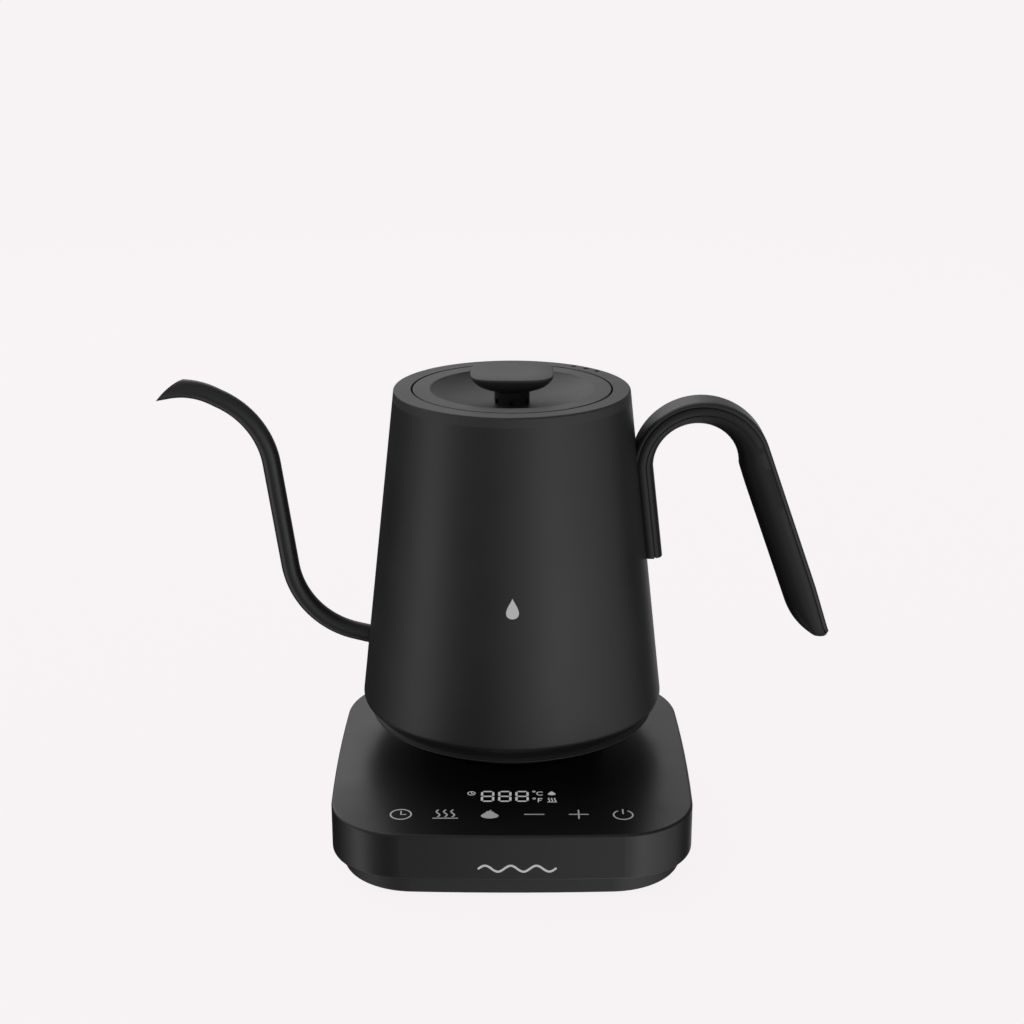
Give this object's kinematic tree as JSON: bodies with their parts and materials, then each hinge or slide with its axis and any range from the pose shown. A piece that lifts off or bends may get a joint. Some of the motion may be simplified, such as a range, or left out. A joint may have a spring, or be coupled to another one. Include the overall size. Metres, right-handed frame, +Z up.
{
  "type": "electric kettle",
  "caption": "Gooseneck electric kettle with a conical body, hook handle and push-in lid, standing on a rounded square touch-control base.",
  "frame": {"origin": "on the axis that the kettle turns on, in the plane of the table that the base's anti-slip strip stands on", "axes": "+Z up along the swivel axis, +X towards the handle, -X towards the spout, -Y towards the touch controls"},
  "size_m": [0.283, 0.1646, 0.1883],
  "materials": {
    "shell_black": "fine matt, soft-touch",
    "tray_black": "matt moulded plastic",
    "vessel_black": "matt black powder coat",
    "spout_black": "matt black powder coat",
    "handle_black": "fine matt",
    "lid_black": "fine matt",
    "foot_black": "matt moulded plastic",
    "rubber_black": "matt",
    "silicone_grey": "soft satin",
    "stainless": "brushed",
    "aluminium": "cast, satin",
    "contact_brass": "bright",
    "connector_black": "glass-filled plastic",
    "board_green": "solder resist",
    "relay_blue": "moulded",
    "ceramic_white": "ceramic and phenolic",
    "display_dark": "gloss",
    "nylon_white": "nylon"
  },
  "bodies": {
    "base": {"base_top_shell": "shell_black", "base_tray": "tray_black", "anti_slip_strip": "rubber_black", "base_screws": "stainless", "base_connector": "connector_black", "base_contacts": "contact_brass", "power_board": "board_green", "relay": "relay_blue", "transformer": "ceramic_white", "capacitor": "display_dark", "terminal_block": "nylon_white", "control_board": "board_green", "touch_springs": "contact_brass", "led_display": "display_dark", "buzzer": "display_dark", "cord_gland": "rubber_black"},
    "coupler": {"glide_ring": "nylon_white"},
    "kettle": {"vessel_shell": "vessel_black", "rim_collar": "lid_black", "spout": "spout_black", "handle_core": "handle_black", "handle_cap": "handle_black", "handle_bracket": "stainless", "handle_screws": "stainless", "heater_plate": "aluminium", "heating_element": "stainless", "thermal_cutouts": "ceramic_white", "temperature_probe": "stainless", "probe_seal": "silicone_grey", "kettle_foot": "foot_black", "foot_screws": "stainless", "kettle_connector": "connector_black", "connector_blade": "contact_brass", "connector_pin": "contact_brass"},
    "lid": {"lid_top": "lid_black", "knob_cap": "lid_black", "knob_stem": "lid_black", "lid_screw": "stainless", "lid_liner": "stainless", "lid_seal": "silicone_grey"}
  },
  "joints": [
    {"name": "kettle_swivel", "type": "hinge", "parent": "base", "child": "coupler", "pos_m": [0, 0, 0.03], "axis": [0, 0, 1], "continuous": true},
    {"name": "kettle_lift", "type": "slide", "parent": "coupler", "child": "kettle", "axis": [0, 0, 1], "range_m": [0, 0.06]},
    {"name": "lid_lift", "type": "slide", "parent": "kettle", "child": "lid", "axis": [0, 0, 1], "range_m": [0, 0.05]}
  ]
}
